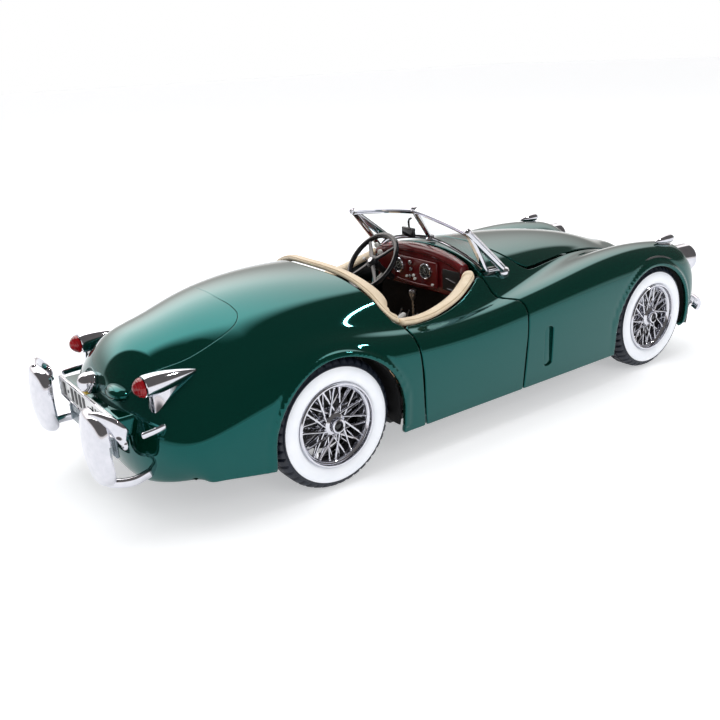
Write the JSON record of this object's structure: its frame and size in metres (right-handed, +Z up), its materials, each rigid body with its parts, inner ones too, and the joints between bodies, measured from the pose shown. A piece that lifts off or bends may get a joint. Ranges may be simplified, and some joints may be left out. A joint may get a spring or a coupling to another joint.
{
  "type": "diecast collector car",
  "caption": "Diecast open two-seater model car with opening doors and bonnet, steering front wheels, rolling wire wheels and a detailed cockpit.",
  "frame": {"origin": "on the ground plane under the middle of the overall length and width", "axes": "+X forward towards the nose, +Y to the car's left, +Z up"},
  "size_m": [0.1852, 0.0636, 0.0508],
  "materials": {
    "paint": "high gloss dark green enamel",
    "chrome": "bright plated",
    "tyre_rubber": "satin black with a white sidewall band",
    "black_metal": "satin black",
    "black_matte": "matte black",
    "black_gloss": "gloss black",
    "cream_trim": "satin cream",
    "tan_trim": "satin tan",
    "burgundy": "gloss burgundy",
    "steel": "satin",
    "alloy": "satin",
    "red_lens": "clear red gloss",
    "clear_lens": "clear gloss",
    "screen_glass": "clear",
    "white_gloss": "gloss white"
  },
  "bodies": {
    "chassis": {"body_shell": "paint", "base_plate": "black_metal", "interior_tub": "black_matte", "seat_left": "tan_trim", "seat_right": "tan_trim", "dashboard": "burgundy", "instrument_panel": "burgundy", "gauge_left": "chrome", "gauge_right": "chrome", "steering_column": "black_matte", "gear_lever": "steel", "handbrake_lever": "white_gloss", "windscreen_frame": "chrome", "windscreen_glass_left": "screen_glass", "windscreen_glass_right": "screen_glass", "rear_view_mirror": "black_gloss", "engine_block": "alloy", "radiator_grille": "chrome", "headlamp_rim_left": "chrome", "headlamp_rim_right": "chrome", "headlamp_lens_left": "clear_lens", "headlamp_lens_right": "clear_lens", "side_lamp_left": "chrome", "side_lamp_right": "chrome", "tail_lamp_pod_left": "chrome", "tail_lamp_pod_right": "chrome", "tail_lamp_lens_left": "red_lens", "tail_lamp_lens_right": "red_lens", "rear_bumper_left": "chrome", "rear_bumper_right": "chrome", "front_bumper_left": "chrome", "front_bumper_right": "chrome", "number_plate": "white_gloss", "plate_bracket": "steel", "plate_lamp": "chrome", "boot_latch": "paint", "cockpit_trim": "cream_trim"},
    "door_left_panel": {"door_left": "paint", "door_card_left": "tan_trim", "door_trim_left": "cream_trim"},
    "door_right_panel": {"door_right": "paint", "door_card_right": "tan_trim", "door_trim_right": "cream_trim"},
    "bonnet_panel": {"bonnet": "paint"},
    "knuckle_left": {"front_knuckle_left": "black_metal"},
    "knuckle_right": {"front_knuckle_right": "black_metal"},
    "wheel_front_left": {"front_wheel_left": "chrome", "front_tyre_left": "tyre_rubber"},
    "wheel_front_right": {"front_wheel_right": "chrome", "front_tyre_right": "tyre_rubber"},
    "track_rod": {"tie_rod": "black_metal"},
    "helm": {"steering_wheel": "black_gloss"},
    "axle_rear": {"rear_axle": "steel", "rear_wheel_left": "chrome", "rear_wheel_right": "chrome", "rear_tyre_left": "tyre_rubber", "rear_tyre_right": "tyre_rubber"}
  },
  "joints": [
    {"name": "door_left_hinge", "type": "hinge", "parent": "chassis", "child": "door_left_panel", "pos_m": [0.01218, 0.0315, 0.018], "axis": [0, 0, -1], "range_deg": [0, 60]},
    {"name": "door_right_hinge", "type": "hinge", "parent": "chassis", "child": "door_right_panel", "pos_m": [0.01218, -0.0315, 0.018], "axis": [0, 0, 1], "range_deg": [0, 60]},
    {"name": "bonnet_hinge", "type": "hinge", "parent": "chassis", "child": "bonnet_panel", "pos_m": [0.01588, 0, 0.0416], "axis": [0, -1, 0], "range_deg": [0, 45]},
    {"name": "steer_left", "type": "hinge", "parent": "chassis", "child": "knuckle_left", "pos_m": [0.06428, 0.0206, 0.0146], "axis": [0, 0, 1], "range_deg": [-18, 18]},
    {"name": "steer_right", "type": "hinge", "parent": "chassis", "child": "knuckle_right", "pos_m": [0.06428, -0.0206, 0.0146], "axis": [0, 0, 1], "range_deg": [-18, 18]},
    {"name": "tie_rod_slide", "type": "slide", "parent": "chassis", "child": "track_rod", "axis": [0, 1, 0], "range_m": [-0.0021, 0.0021]},
    {"name": "steering_wheel_turn", "type": "hinge", "parent": "chassis", "child": "helm", "pos_m": [-0.00332, 0.0096, 0.0362], "axis": [-0.766, 0, 0.6428], "range_deg": [-55, 55]},
    {"name": "front_wheel_left_spin", "type": "hinge", "parent": "knuckle_left", "child": "wheel_front_left", "pos_m": [0.06428, 0.0256, 0.0146], "axis": [0, 1, 0], "continuous": true},
    {"name": "front_wheel_right_spin", "type": "hinge", "parent": "knuckle_right", "child": "wheel_front_right", "pos_m": [0.06428, -0.0256, 0.0146], "axis": [0, 1, 0], "continuous": true},
    {"name": "rear_axle_spin", "type": "hinge", "parent": "chassis", "child": "axle_rear", "pos_m": [-0.04372, 0, 0.0146], "axis": [0, 1, 0], "continuous": true}
  ],
  "couplings": [
    {"joint": "steer_right", "follows": "steer_left", "ratio": 1},
    {"joint": "tie_rod_slide", "follows": "steer_left", "m_per_rad": -0.0065},
    {"joint": "steering_wheel_turn", "follows": "steer_left", "ratio": 3}
  ]
}
